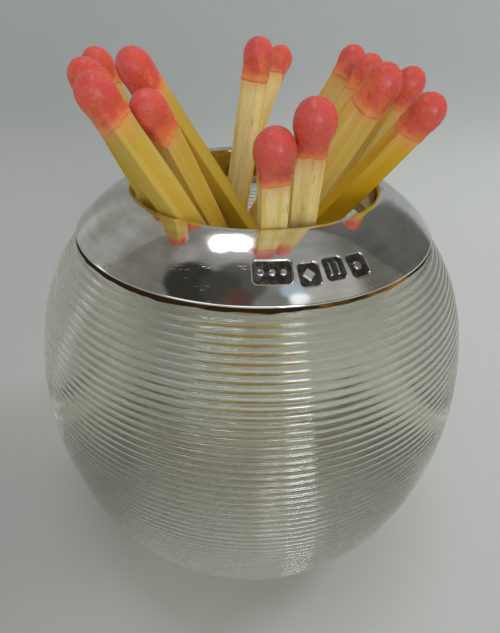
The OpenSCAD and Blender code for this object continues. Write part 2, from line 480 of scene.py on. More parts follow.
@dataclass(frozen=True)
class WoodFinish:
    """Bare split match wood."""

    grain: NodeTree
    pale: Colour = (0.93, 0.80, 0.42, 1.0)
    warm: Colour = (0.76, 0.56, 0.17, 1.0)
    gold: Colour = (0.74, 0.43, 0.005, 1.0)
    pore: Colour = (0.42, 0.27, 0.10, 1.0)
    stain: Colour = (0.80, 0.34, 0.14, 1.0)
    olive: Colour = (0.36, 0.25, 0.020, 1.0)
    fibre_depth: float = 0.05 * MM

    def build(self) -> Material:
        """Makes the material from the grain group and each stick's own values.

        Returns:
            The material.
        """
        tree = Surface("match_wood")
        grain = tree.group(self.grain, tree.where(), Seed=tree.add("ObjectInfo").outputs["Random"])
        colour = tree.mix(tree.ramp(grain["Band"], 0.30, 0.72), self.pale, self.warm)
        colour = tree.mix(tree.ramp(grain["Fibre"], 0.40, 0.75, 0.0, 0.55), colour, self.warm)
        gold = tree.times(tree.value("gold"), tree.ramp(grain["Band"], 0.25, 0.75, 0.65, 1.0))
        colour = tree.mix(gold, colour, self.gold)
        # The olive mix holds each stick's own dark tone and painted shade that grows towards its foot
        # in the well.
        colour = tree.mix(tree.value("olive_tone_and_painted_shade"), colour, self.olive)
        colour = tree.mix(tree.value("stain"), colour, self.stain)
        colour = tree.mix(tree.times(grain["Pore"], 0.7), colour, self.pore)
        height = tree.minus(grain["Fibre"], grain["Pore"])
        return tree.close(tree.add("BsdfPrincipled", {
            "Base Color": colour, "Roughness": tree.ramp(grain["Fibre"], 0.3, 0.7, 0.50, 0.72),
            "Normal": tree.bump(0.55, self.fibre_depth, height), "Specular IOR Level": 0.15}))


@dataclass(frozen=True)
class HeadFinish:
    """Coral dip with a soft sheen and a slightly grainy skin."""

    dip: NodeTree
    coral: Colour = (0.70, 0.098, 0.060, 1.0)
    pink: Colour = (0.68, 0.092, 0.082, 1.0)
    orange: Colour = (0.78, 0.175, 0.055, 1.0)
    deep: Colour = (0.55, 0.052, 0.030, 1.0)
    pale: Colour = (0.86, 0.34, 0.25, 1.0)
    thin: Colour = (0.84, 0.32, 0.095, 1.0)
    grain_depth: float = 0.06 * MM
    glow_depth: float = 0.4 * MM

    def build(self) -> Material:
        """Makes the material from the dried-dip group.

        Returns:
            The material.
        """
        tree = Surface("match_head")
        dip = tree.group(self.dip, tree.where(), Seed=tree.add("ObjectInfo").outputs["Random"])
        tip = tree.value("tip")
        mottle = tree.plus(tip, tree.ramp(dip["Lump"], 0.3, 0.7, -0.35, 0.35))
        colour = tree.mix(tree.ramp(mottle, 0.05, 0.40), self.orange, self.coral)
        colour = tree.mix(tree.ramp(mottle, 0.50, 1.00), colour, self.pink)
        colour = tree.mix(tree.ramp(tip, 0.02, 0.20, 0.8, 0.0), colour, self.thin)
        colour = tree.mix(tree.ramp(dip["Lump"], 0.55, 0.80, 0.0, 0.5), colour, self.deep)
        colour = tree.mix(tree.ramp(dip["Grit"], 0.56, 0.72, 0.0, 0.22), colour, self.pale)
        # Painted shade: the pits are also made darker in colour.
        colour = tree.mix(tree.times(dip["Pit"], 0.6), colour, self.deep)
        height = tree.plus(tree.times(dip["Grit"], 0.30), dip["Lump"])
        height = tree.plus(height, tree.times(dip["Grain"], 0.55))
        height = tree.minus(height, tree.times(dip["Pit"], 1.4))
        return tree.close(tree.add("BsdfPrincipled", {
            "Base Color": colour, "Roughness": tree.ramp(dip["Grit"], 0.3, 0.7, 0.20, 0.42),
            "Normal": tree.bump(1.0, self.grain_depth, height), "Specular IOR Level": 0.42,
            "Subsurface Weight": 0.12, "Subsurface Radius": (1.0, 0.3, 0.2),
            "Subsurface Scale": self.glow_depth}))


@dataclass(frozen=True)
class FloorFinish:
    """Matt pale paper under and behind the object, with painted shade to the left and towards the back.
    """

    tone: Colour = (0.53, 0.55, 0.53, 1.0)
    speck: Colour = (0.46, 0.47, 0.45, 1.0)
    # Painted shade: the paper's tone on the left, in the object's shadow.
    left_painted_shade: Colour = (0.42, 0.435, 0.415, 1.0)
    # Painted shade: its tone towards the back, where the light falls off.
    far: Colour = (0.35, 0.37, 0.367, 1.0)
    right_corner: Colour = (0.15, 0.15, 0.145, 1.0)
    left_corner: Colour = (0.46, 0.46, 0.45, 1.0)
    speck_scale: float = 14.0
    left_shade_x: Point2 = (-0.06, 0.05)
    far_y: Point2 = (0.05, 0.40)
    corner_y: Point2 = (0.20, 0.32)
    corner_x: Point2 = (0.36, 0.50)

    def build(self) -> Material:
        """Makes the material. The corners are out of the picture, and only mirrored.

        Returns:
            The material.
        """
        tree = Surface("pale_paper")
        where = tree.where()
        speck = tree.ramp(tree.noise(where, self.speck_scale), 0.2, 0.8, 0.0, 0.05)
        colour = tree.mix(speck, self.tone, self.speck)
        across, away = tree.part(where, "X"), tree.part(where, "Y")
        # Painted shade: darker to the left, in the object's shadow.
        colour = tree.mix(tree.ramp(across, *self.left_shade_x, 1.0, 0.0), colour, self.left_painted_shade)
        # Painted shade: darker towards the back, where the light falls off.
        colour = tree.mix(tree.ramp(away, *self.far_y), colour, self.far)
        behind = tree.ramp(away, *self.corner_y)
        near, outer = self.corner_x
        right = tree.times(behind, tree.ramp(across, near, outer))
        left = tree.times(behind, tree.ramp(across, -outer, -near, 1.0, 0.0))
        colour = tree.mix(left, tree.mix(right, colour, self.right_corner), self.left_corner)
        return tree.close(tree.add("BsdfPrincipled", {
            "Base Color": colour, "Roughness": 0.75, "Specular IOR Level": 0.2}))


class Finishes:
    """Every material of the scene, built once."""

    def __init__(self) -> None:
        """Builds the materials and the node groups that they share."""
        self.glass = GlassFinish(rib_group()).build()
        self.silver = SilverFinish(scratch_group(), turned_group()).build()
        self.cement = CementFinish().build()
        self.wood = WoodFinish(grain_group()).build()
        self.head = HeadFinish(grit_group()).build()
        self.floor = FloorFinish().build()


# ---- Mesh helpers ----


def make_object(name: str, verts: Sequence, faces: Sequence, material: Material,
                smooth: bool = True) -> Object:
    """Makes a mesh object from points and faces.

    Args:
        name: The object's and mesh's name.
        verts: Points in metres.
        faces: Tuples of point numbers.
        material: The only material.
        smooth: Whether the faces are shaded smooth.

    Returns:
        The object, linked to the scene.
    """
    mesh = bpy.data.meshes.new(name)
    mesh.from_pydata(verts, [], faces)
    mesh.materials.append(material)
    mesh.polygons.foreach_set("use_smooth", [smooth] * len(mesh.polygons))
    mesh.update()
    obj = bpy.data.objects.new(name, mesh)
    bpy.context.scene.collection.objects.link(obj)
    return obj


def add_values(obj: Object, name: str, values: Sequence[float]) -> None:
    """Stores one number for each point of an object's mesh, for its material to read."""
    obj.data.attributes.new(name, "FLOAT", "POINT").data.foreach_set("value", values)


def revolve(profile: Sequence[Point2], angles: Sequence[float],
            shift: Callable[[int, int], tuple[float, float]] | None = None) -> tuple[list, list]:
    """Turns a profile about Z.

    Args:
        profile: Points (radius, height), in order so that the faces look out. It is an open
            line where it ends on the axis and a closed loop elsewhere.
        angles: Angles round in radians, in order, without the closing one.
        shift: Moves a point in radius and height, from its row and column.

    Returns:
        The points and the faces.
    """
    verts: list = []
    faces: list = []
    rings: list[list[int]] = []
    for row, (radius, height) in enumerate(profile):
        if radius < ON_AXIS:
            rings.append([len(verts)])
            verts.append((0.0, 0.0, height))
            continue
        ring = []
        for col, angle in enumerate(angles):
            dr, dz = shift(row, col) if shift else (0.0, 0.0)
            ring.append(len(verts))
            out = radius + dr
            verts.append((out * math.cos(angle), out * math.sin(angle), height + dz))
        rings.append(ring)
    count = len(angles)
    closed = len(rings[0]) > 1 and len(rings[-1]) > 1
    pairs = list(zip(rings, rings[1:])) + ([(rings[-1], rings[0])] if closed else [])
    for low, high in pairs:
        for col in range(count):
            nxt = (col + 1) % count
            if len(low) == 1:
                faces.append((low[0], high[nxt], high[col]))
            elif len(high) == 1:
                faces.append((low[col], low[nxt], high[0]))
            else:
                faces.append((low[col], low[nxt], high[nxt], high[col]))
    return verts, faces


def on_arc(centre: Point2, radius: float, angle: float) -> Point2:
    """A point on a circle, at an angle in degrees."""
    a = math.radians(angle)
    return (centre[0] + radius * math.cos(a), centre[1] + radius * math.sin(a))


def arc(centre: Point2, radius: float, start: float, end: float, steps: int) -> list[Point2]:
    """Points along an arc.

    Args:
        centre: The arc's centre.
        radius: Its radius.
        start: Angle of the first point, in degrees.
        end: Angle of the last point.
        steps: Number of steps between them.

    Returns:
        The points, one more than the steps.
    """
    return [on_arc(centre, radius, start + (end - start) * i / steps) for i in range(steps + 1)]


def grid_faces(rows: int, cols: int, first: int = 0, inward: bool = False) -> list[tuple[int, ...]]:
    """Faces of a tube of points that lie ring after ring.

    Args:
        rows: Number of rows of faces.
        cols: Number of points in a ring.
        first: Number of the first point.
        inward: Whether the faces look to the inside.

    Returns:
        The faces.
    """
    faces = []
    for row in range(rows):
        for col in range(cols):
            a, b = first + row * cols + col, first + row * cols + (col + 1) % cols
            face = (a, b, b + cols, a + cols)
            faces.append((a, a + cols, b + cols, b) if inward else face)
    return faces


def random_point(rng: random.Random, reach: float) -> Vector:
    """A point that shifts a noise pattern, so that each match has its own."""
    return Vector((rng.uniform(0, reach), rng.uniform(0, reach), rng.uniform(0, reach)))


def square_reach(theta: float) -> float:
    """How far a rounded square with a half side of 1 reaches at an angle."""
    power = abs(math.cos(theta)) ** SQUARENESS + abs(math.sin(theta)) ** SQUARENESS
    return 1 / power ** (1 / SQUARENESS)


def smooth(t: float) -> float:
    """Smooth step from 0 to 1."""
    t = min(1.0, max(0.0, t))
    return t * t * (3 - 2 * t)


def even_angles(count: int) -> list[float]:
    """Evenly spaced angles round, in radians."""
    return [2 * math.pi * i / count for i in range(count)]


def lerp_rows(a: Point2, b: Point2, steps: int) -> list[Point2]:
    """Points between two points, without the first and with the last."""
    return [(a[0] + (b[0] - a[0]) * i / steps, a[1] + (b[1] - a[1]) * i / steps)
            for i in range(1, steps + 1)]


# ---- The turned parts ----


@dataclass(frozen=True)
class TurnedSizes:
    """Sizes of the globe, cement and collar, the same as in the CAD source, in metres."""

    globe_r: float = 24 * MM
    belly_z: float = 20 * MM
    belly_curve_r: float = 37 * MM
    shoulder_z: float = 31 * MM
    shoulder_curve_r: float = 19.4 * MM
    foot_edge_r: float = 2 * MM
    rib_pitch: float = 0.69 * MM
    rib_depth: float = 0.12 * MM
    plain_band: float = 1.6 * MM
    rib_top_gap: float = 0.2 * MM
    well_floor_z: float = 15 * MM
    well_floor_r: float = 11.2 * MM
    well_corner_r: float = 9.5 * MM
    well_top_step: float = 0.1 * MM
    glass_rim_drop: float = 0.9 * MM
    silver_t: float = 0.35 * MM
    collar_edge_z: float = 39.6 * MM
    mouth_r: float = 11.8 * MM
    lip_r: float = 0.5 * MM
    sleeve_l: float = 3 * MM
    cement_t: float = 0.15 * MM
    cement_show: float = 0.2 * MM
    cement_ring_h: float = 0.9 * MM

    @property
    def belly_c(self) -> Point2:
        """Centre of the belly's curve."""
        return (self.globe_r - self.belly_curve_r, self.belly_z)

    @property
    def belly_top_a(self) -> float:
        """Angle where the belly ends, in degrees."""
        return math.degrees(math.asin((self.shoulder_z - self.belly_z) / self.belly_curve_r))

    @property
    def shoulder_c(self) -> Point2:
        """Centre of the shoulder's curve."""
        return on_arc(self.belly_c, self.belly_curve_r - self.shoulder_curve_r, self.belly_top_a)

    @property
    def foot_r(self) -> float:
        """Radius of the flat of the foot."""
        reach = (self.belly_curve_r - self.foot_edge_r) ** 2 - (self.belly_z - self.foot_edge_r) ** 2
        return self.belly_c[0] + math.sqrt(reach)

    @property
    def belly_foot_a(self) -> float:
        """Angle where the belly meets the foot's rounded edge, in degrees."""
        rise = (self.belly_z - self.foot_edge_r) / (self.belly_curve_r - self.foot_edge_r)
        return -math.degrees(math.asin(rise))

    @property
    def belly_len(self) -> float:
        """Length of the belly's curve."""
        return self.belly_curve_r * math.radians(self.belly_top_a - self.belly_foot_a)

    @property
    def cement_r(self) -> float:
        """Radius of the outside of the cement."""
        return self.shoulder_curve_r + self.cement_t

    @property
    def dome_r(self) -> float:
        """Radius of the outside of the silver."""
        return self.cement_r + self.silver_t

    @property
    def edge_a(self) -> float:
        """Angle of the collar's lower edge, in degrees."""
        return math.degrees(math.asin((self.collar_edge_z - self.shoulder_c[1]) / self.dome_r))

    @property
    def cement_edge_a(self) -> float:
        """Angle of the cement's lower edge, in degrees."""
        return self.edge_a - math.degrees(self.cement_show / self.shoulder_curve_r)

    @property
    def lip_a(self) -> float:
        """Angle where the dome meets the lip, in degrees."""
        reach = (self.mouth_r + self.lip_r - self.shoulder_c[0]) / (self.dome_r - self.lip_r)
        return math.degrees(math.acos(reach))

    @property
    def lip_c(self) -> Point2:
        """Centre of the lip's roll."""
        height = (self.dome_r - self.lip_r) * math.sin(math.radians(self.lip_a))
        return (self.mouth_r + self.lip_r, self.shoulder_c[1] + height)

    @property
    def sleeve_end_z(self) -> float:
        """Height of the end of the sleeve."""
        return self.lip_c[1] - self.sleeve_l

    @property
    def ledge_z(self) -> float:
        """Height of the glass ledge under the ring of cement."""
        return self.sleeve_end_z - self.cement_ring_h

    @property
    def glass_rim_z(self) -> float:
        """Height of the glass rim."""
        return self.lip_c[1] - self.glass_rim_drop

    @property
    def rim_a(self) -> float:
        """Angle of the glass rim on the shoulder's curve, in degrees."""
        return math.degrees(math.asin((self.glass_rim_z - self.shoulder_c[1]) / self.shoulder_curve_r))

    @property
    def seat_r(self) -> float:
        """Radius inside the glass rim."""
        return self.mouth_r + self.silver_t + self.cement_t

    def side_point(self, s: float, d: float) -> Point2:
        """A point on the globe's side.

        Args:
            s: Length up from the foot's edge.
            d: Depth in from the surface.

        Returns:
            The point.
        """
        if s < self.belly_len:
            a = math.radians(self.belly_foot_a) + s / self.belly_curve_r
            centre, radius = self.belly_c, self.belly_curve_r
        else:
            a = math.radians(self.belly_top_a) + (s - self.belly_len) / self.shoulder_curve_r
            centre, radius = self.shoulder_c, self.shoulder_curve_r
        return (centre[0] + (radius - d) * math.cos(a), centre[1] + (radius - d) * math.sin(a))


class GlassGlobe:
    """The pressed glass globe with its fine ribs and its well."""

    SEGMENTS = 200
    RIB_STEPS = 8
    CREST = 2.2
    # Depth of the lowest ribs as a share of the full depth, and the shares of the way up
    # between which it grows to the full depth
    LOW_SHARE, LOW_TO, FULL_FROM = 0.5, 0.25, 0.75
    # Rows of the flat foot as shares of its radius, and steps of the other stretches
    FOOT_ROWS = (0.6, 0.97)
    EDGE_STEPS, BAND_STEPS, SHOULDER_STEPS, SIDE_STEPS, CORNER_STEPS = 8, 4, 16, 12, 24
    # The bubble's angle round, radius, height, and half its length and width
    BUBBLE_A = -80.0
    BUBBLE_R = 22.8 * MM
    BUBBLE_Z = 28.3 * MM
    BUBBLE_L = 0.50 * MM
    BUBBLE_W = 0.22 * MM
    BUBBLE_ROWS, BUBBLE_COLS = 8, 14
    # The waviness: its size, how far it lies in, and its pattern round and up
    WAVE, WAVE_IN = 0.010 * MM, 0.006 * MM
    WAVE_ROUND, WAVE_UP = 1.4, 160
    WAVE_FROM_R = 5 * MM

    def __init__(self, sizes: TurnedSizes) -> None:
        """Keeps the sizes. The ribs are counted when the outline is made.

        Args:
            sizes: The sizes of the turned parts.
        """
        self.s = sizes
        self.first_rib_row = 0
        self.rib_count = 0

    def profile(self) -> list[Point2]:
        """The outline from the middle of the foot round to the middle of the well's floor.

        Returns:
            The points, with the rows of the ribs counted in the object's own fields.
        """
        s = self.s
        space = (s.belly_len + s.shoulder_curve_r * math.radians(s.cement_edge_a - s.belly_top_a)
                 - s.plain_band - s.rib_top_gap)
        ribs = int(space / s.rib_pitch)
        points: list[Point2] = [(s.foot_r * share, 0.0) for share in (0.0, *self.FOOT_ROWS)]
        points += arc((s.foot_r, s.foot_edge_r), s.foot_edge_r, -90, s.belly_foot_a, self.EDGE_STEPS)
        points += [s.side_point(s.plain_band * i / self.BAND_STEPS, 0)
                   for i in range(1, self.BAND_STEPS)]
        self.first_rib_row = len(points)
        self.rib_count = ribs
        for k in range(ribs):
            grown = smooth((k / ribs - self.LOW_TO) / (self.FULL_FROM - self.LOW_TO))
            share = self.LOW_SHARE + (1 - self.LOW_SHARE) * grown
            for i in range(self.RIB_STEPS):
                t = i / self.RIB_STEPS
                dip = s.rib_depth * share * abs(2 * t - 1) ** self.CREST
                points.append(s.side_point(s.plain_band + (k + t) * s.rib_pitch, dip))
        points.append(s.side_point(s.plain_band + ribs * s.rib_pitch, s.rib_depth))
        points += arc(s.shoulder_c, s.shoulder_curve_r, s.cement_edge_a, s.rim_a, self.SHOULDER_STEPS)
        points += [(s.seat_r, s.glass_rim_z), (s.seat_r, s.ledge_z)]
        points += [(s.mouth_r - s.well_top_step, s.ledge_z)]
        bend = (s.well_floor_r - s.well_corner_r, s.well_floor_z + s.well_corner_r)
        points += lerp_rows(points[-1], (s.well_floor_r, bend[1]), self.SIDE_STEPS)
        points += arc(bend, s.well_corner_r, 0, -90, self.CORNER_STEPS)[1:]
        points += [(0.0, s.well_floor_z)]
        return points

    def _add_bubble(self, verts: list, faces: list) -> None:
        """Adds the small bubble of air under the front, its faces turned inwards.

        Args:
            verts: The globe's points, which get the bubble's after them.
            faces: The globe's faces, likewise.
        """
        about, rows, cols = math.radians(self.BUBBLE_A), self.BUBBLE_ROWS, self.BUBBLE_COLS
        out = Vector((math.cos(about), math.sin(about), 0))
        side, up = Vector((-out.y, out.x, 0)), Vector((0, 0, 1))
        middle = out * self.BUBBLE_R + up * self.BUBBLE_Z
        faces += grid_faces(rows, cols, len(verts), inward=True)
        for i in range(rows + 1):
            a = math.pi * i / rows
            for j in range(cols):
                b = 2 * math.pi * j / cols
                ring = self.BUBBLE_W * math.sin(a)
                spot = side * self.BUBBLE_L * math.cos(a) + out * ring * math.cos(b)
                verts.append(tuple(middle + (spot + up * ring * math.sin(b))))

    def _add_rib_values(self, obj: Object, points: int) -> None:
        """Stores each point's place on the ribs, counted from 1, and how far its side leans up.

        Args:
            obj: The globe.
            points: How many points it has.
        """
        s = self.s
        ribs = [0.0] * points
        leans = [0.0] * points
        for row in range(self.rib_count * self.RIB_STEPS + 1):
            t = row / self.RIB_STEPS
            length = s.plain_band + t * s.rib_pitch
            if length < s.belly_len:
                lean = math.radians(s.belly_foot_a) + length / s.belly_curve_r
            else:
                lean = math.radians(s.belly_top_a) + (length - s.belly_len) / s.shoulder_curve_r
            first = 1 + (self.first_rib_row - 1 + row) * self.SEGMENTS
            for i in range(first, first + self.SEGMENTS):
                ribs[i] = 1.0 + t
                leans[i] = lean
        add_values(obj, "rib", ribs)
        add_values(obj, "lean", leans)

    def build(self, finish: Material) -> Object:
        """Makes the globe in place of its CAD node.

        Args:
            finish: The glass.

        Returns:
            The globe.
        """

        def uneven(row: int, col: int) -> Point2:
            """A little waviness of the pressed surface, less than the depth of a rib.

            Args:
                row: Row of the outline.
                col: Column round.

            Returns:
                How far the point moves in radius and height.
            """
            radius, height = profile[row]
            if radius < self.WAVE_FROM_R or height < self.s.foot_edge_r:
                return (0.0, 0.0)
            x, y = math.cos(angles[col]) * self.WAVE_ROUND, math.sin(angles[col]) * self.WAVE_ROUND
            return (noise.noise(Vector((x, y, height * self.WAVE_UP))) * self.WAVE - self.WAVE_IN, 0.0)

        profile, angles = self.profile(), even_angles(self.SEGMENTS)
        verts, faces = revolve(profile, angles, uneven)
        self._add_bubble(verts, faces)
        obj = make_object("glass_body", verts, faces, finish)
        self._add_rib_values(obj, len(verts))
        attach(obj, "root")
        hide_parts("glass_globe")
        LOG.info("glass_body: %d faces", len(faces))
        return obj


class Cement:
    """The old cement between the glass and the silver, with an uneven lower edge."""

    SEGMENTS = 360
    OUTER_STEPS, INNER_STEPS, ROLL_STEPS = 14, 10, 6
    # How far the edge hangs down: everywhere, more at the left, and the size of its wander
    DROP, DROP_LEFT, DROP_WANDER = 0.07 * MM, 0.14 * MM, 0.12 * MM
    # How far to the right of the middle the left side's drop starts, as a share of the radius
    LEFT_FROM = 0.3
    # Two patterns of the wander: waves, share and seed
    WANDERS = ((6, 1.0, 3.0), (21, 0.6, 8.0))
    STAND_OUT = 0.04 * MM
    # How dark the rows of points are, counted from the edge up on either face
    EDGE_DARK = (1.0, 1.0, 0.5)

    def __init__(self, sizes: TurnedSizes) -> None:
        """Keeps the sizes."""
        self.s = sizes

    def build(self, finish: Material) -> Object:
        """Makes the cement in place of its CAD node.

        Args:
            finish: The cement's material.

        Returns:
            The cement.
        """
        s = self.s
        outer = arc(s.shoulder_c, s.cement_r, s.cement_edge_a, s.lip_a, self.OUTER_STEPS)
        inner = arc(s.shoulder_c, s.shoulder_curve_r, s.rim_a, s.cement_edge_a, self.INNER_STEPS)
        profile = outer + arc(s.lip_c, s.lip_r - s.silver_t, s.lip_a, 180, self.ROLL_STEPS)
        profile += [(s.mouth_r + s.silver_t, s.sleeve_end_z), (s.mouth_r, s.sleeve_end_z)]
        profile += [(s.mouth_r, s.ledge_z)]
        profile += [(s.seat_r, s.ledge_z), (s.seat_r, s.glass_rim_z)] + inner
        last = len(profile) - 1

        def ragged(row: int, col: int) -> Point2:
            """Lets the lower edge wander, thicker towards the left.

            Args:
                row: Row of the outline.
                col: Column round.

            Returns:
                How far the point moves in radius and height.
            """
            if row not in (0, last):
                return (0.0, 0.0)
            x, y = math.cos(angles[col]), math.sin(angles[col])
            wander = sum(share * noise.noise(Vector((x * waves, y * waves, seed)))
                         for waves, share, seed in self.WANDERS)
            left = smooth((self.LEFT_FROM - x) / (1 + self.LEFT_FROM))
            drop = self.DROP + self.DROP_LEFT * left + self.DROP_WANDER * wander
            down = math.radians(s.cement_edge_a)
            out = self.STAND_OUT if row == 0 else 0.0
            return (drop * math.sin(down) + out, -drop * math.cos(down))

        angles = even_angles(self.SEGMENTS)
        verts, faces = revolve(profile, angles, ragged)
        obj = make_object("cement_line", verts, faces, finish)
        edge_dark = {row: value for i, value in enumerate(self.EDGE_DARK) for row in (i, last - i)}
        add_values(obj, "edge", [edge_dark.get(i // self.SEGMENTS, 0.0) for i in range(len(verts))])
        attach(obj, "root")
        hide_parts("collar_cement")
        LOG.info("cement_line: %d faces", len(faces))
        return obj


@dataclass(frozen=True)
class PunchedMark:
    """One punched mark: its place on the dome, its width and its plain figure."""

    round_a: float
    up_a: float
    width: float
    figure: Figure
    height: float = 1.9 * MM

    PIP_D: ClassVar[float] = 0.5 * MM
    PIP_STEP: ClassVar[float] = 0.85 * MM
    LOZENGE_W: ClassVar[float] = 0.75 * MM
    BAR_L: ClassVar[float] = 1.05 * MM
    BAR_W: ClassVar[float] = 0.25 * MM
    BAR_STEP: ClassVar[float] = 0.31 * MM
    DOT_D: ClassVar[float] = 0.7 * MM
    # Width of every soft edge, and radius of the hollow's corners
    SOFT: ClassVar[float] = 0.07 * MM
    CORNER: ClassVar[float] = 0.35 * MM
    # How much of the depth and of the tarnish the raised figure takes away
    RAISED, CLEAN = 0.9, 0.85

    def sample(self, u: float, v: float) -> tuple[float, float]:
        """Depth share and darkness at a place.

        Args:
            u: Distance round from the mark's middle, in metres.
            v: Distance up from it.

        Returns:
            The depth from 0 on the dome to 1 in the hollow, and the tarnish from 0 to 1.
        """
        qx, qy = abs(u) - self.width / 2 + self.CORNER, abs(v) - self.height / 2 + self.CORNER
        edge = math.hypot(max(qx, 0), max(qy, 0)) + min(max(qx, qy), 0) - self.CORNER
        hollow = smooth(0.5 - edge / self.SOFT)
        if hollow <= 0:
            return 0.0, 0.0
        raised = smooth(0.5 - self._figure_edge(u, v) / self.SOFT)
        return hollow * (1 - self.RAISED * raised), hollow * (1 - self.CLEAN * raised)

    def _figure_edge(self, u: float, v: float) -> float:
        """Signed distance to the raised figure.

        Args:
            u: Distance round from the mark's middle, in metres.
            v: Distance up from it.

        Returns:
            The distance, below 0 inside the figure.
        """
        if self.figure is Figure.PIPS:
            return min(math.hypot(u - k * self.PIP_STEP, v) for k in (-1, 0, 1)) - self.PIP_D / 2
        if self.figure is Figure.LOZENGE:
            return (abs(u) + abs(v)) * math.sqrt(0.5) - self.LOZENGE_W / 2
        if self.figure is Figure.BARS:
            return min(max(abs(u - k * self.BAR_STEP) - self.BAR_W / 2, abs(v) - self.BAR_L / 2)
                       for k in (-1, 1))
        return math.hypot(u, v) - self.DOT_D / 2


class SilverCollar:
    """The domed collar with its rolled lip, sleeve and four punched marks."""

    MARK_DEPTH = 0.12 * MM
    MARK_GAP = 0.5 * MM
    FIRST_MARK_A = -85.0
    MARK_UP_A = 53.0
    # Each mark's figure, width, and how much higher than the line it stands, in degrees
    FIGURES = ((Figure.PIPS, 2.9 * MM, 1.0), (Figure.LOZENGE, 1.6 * MM, 0.0),
               (Figure.BARS, 1.6 * MM, 0.5), (Figure.DOT, 1.6 * MM, 0.0))
    # The fine columns round the marks, in degrees, and the number of wide ones
    FINE_FROM, FINE_SPAN, FINE_STEP, WIDE_COLS = -94, 42, 0.22, 170
    # The fine rows up the marks, in degrees, and the numbers of rows below, in and above them
    FINE_LOW, FINE_HIGH, LOW_ROWS, FINE_ROWS, HIGH_ROWS = 50.2, 57.0, 10, 44, 12
    LIP_STEPS, SLEEVE_STEPS, UNDER_STEPS, INNER_STEPS = 12, 8, 8, 24
    # The rounding of the sleeve's end and of the lower edge
    END_ROUND, EDGE_ROUND = 0.04 * MM, 0.05 * MM
    # The hand-worked unevenness: its size, its pattern round and up, and rows to fade over
    UNEVEN, UNEVEN_ROUND, UNEVEN_UP, FADE_ROWS = 0.03 * MM, 2.2, 0.05, 6.0

    def __init__(self, sizes: TurnedSizes) -> None:
        """Keeps the sizes and places the marks."""
        self.s = sizes
        self.marks = self._place_marks()

    def _place_marks(self) -> list[PunchedMark]:
        """Sets the marks side by side from left to right, as the CAD source does.

        Returns:
            The marks.
        """
        ring_r = self.s.shoulder_c[0] + self.s.dome_r * math.cos(math.radians(self.MARK_UP_A))
        marks: list[PunchedMark] = []
        for figure, width, rise in self.FIGURES:
            round_a = self.FIRST_MARK_A
            if marks:
                step = (marks[-1].width + width) / 2 + self.MARK_GAP
                round_a = marks[-1].round_a + math.degrees(step / ring_r)
            marks.append(PunchedMark(round_a, self.MARK_UP_A + rise, width, figure))
        return marks

    def _angles(self) -> list[float]:
        """Columns round, close together where the marks are.

        Returns:
            Their angles in radians.
        """
        fine = int(self.FINE_SPAN / self.FINE_STEP)
        degrees = [self.FINE_FROM + self.FINE_STEP * i for i in range(fine + 1)]
        start, rest = degrees[-1], self.FINE_FROM + 360 - degrees[-1]
        degrees += [start + rest * i / self.WIDE_COLS for i in range(1, self.WIDE_COLS)]
        return [math.radians(d) for d in degrees]

    def _dome_rows(self) -> list[float]:
        """Rows up the dome, close together where the marks are.

        Returns:
            Their angles in degrees.
        """
        s, low, high = self.s, self.FINE_LOW, self.FINE_HIGH
        rows = [s.edge_a + (low - s.edge_a) * i / self.LOW_ROWS for i in range(self.LOW_ROWS)]
        rows += [low + (high - low) * i / self.FINE_ROWS for i in range(self.FINE_ROWS + 1)]
        rows += [high + (s.lip_a - high) * i / self.HIGH_ROWS for i in range(1, self.HIGH_ROWS + 1)]
        return rows

    def build(self, finish: Material) -> Object:
        """Makes the collar in place of its CAD node.

        Args:
            finish: The silver.

        Returns:
            The collar.
        """
        s = self.s
        angles, rows = self._angles(), self._dome_rows()
        c = s.shoulder_c
        outer = [on_arc(c, s.dome_r, a) for a in rows]
        lip = arc(s.lip_c, s.lip_r, s.lip_a, 180, self.LIP_STEPS)[1:]
        sleeve = lerp_rows(lip[-1], (s.mouth_r, s.sleeve_end_z), self.SLEEVE_STEPS)
        back = [(s.mouth_r + s.silver_t * 0.5, s.sleeve_end_z - self.END_ROUND),
                (s.mouth_r + s.silver_t, s.sleeve_end_z)]
        under = arc(s.lip_c, s.lip_r - s.silver_t, 180, s.lip_a, self.UNDER_STEPS)
        inner = arc(c, s.cement_r, s.lip_a, s.edge_a, self.INNER_STEPS)[1:]
        edge = [(outer[0][0] * 0.5 + inner[-1][0] * 0.5,
                 outer[0][1] * 0.5 + inner[-1][1] * 0.5 - self.EDGE_ROUND)]
        profile = outer + lip + sleeve + back + under + inner + edge
        dark: dict[tuple[int, int], float] = {}

        def dent(row: int, col: int) -> Point2:
            """Presses the marks into the dome, with a little hand-worked unevenness.

            Args:
                row: Row of the outline.
                col: Column round.

            Returns:
                How far the point moves in radius and height.
            """
            if row >= len(outer):
                return (0.0, 0.0)
            up, about = rows[row], angles[col]
            depth = 0.0
            for mark in self.marks:
                v = math.radians(up - mark.up_a) * s.dome_r
                u = (about - math.radians(mark.round_a)) * outer[row][0]
                if abs(v) < mark.height and abs(u) < mark.width:
                    share, tarnish = mark.sample(u, v)
                    depth = max(depth, share * self.MARK_DEPTH)
                    dark[(row, col)] = max(dark.get((row, col), 0.0), tarnish)
            place = Vector((math.cos(about) * self.UNEVEN_ROUND, math.sin(about) * self.UNEVEN_ROUND,
                            up * self.UNEVEN_UP))
            fade = min(1.0, row / self.FADE_ROWS, (len(outer) - 1 - row) / self.FADE_ROWS)
            depth -= noise.noise(place) * self.UNEVEN * fade
            a = math.radians(up)
            return (-depth * math.cos(a), -depth * math.sin(a))

        verts, faces = revolve(profile, angles, dent)
        obj = make_object("silver_dome", verts, faces, finish)
        count = len(angles)
        add_values(obj, "tarnish", [dark.get(divmod(i, count), 0.0) for i in range(len(verts))])
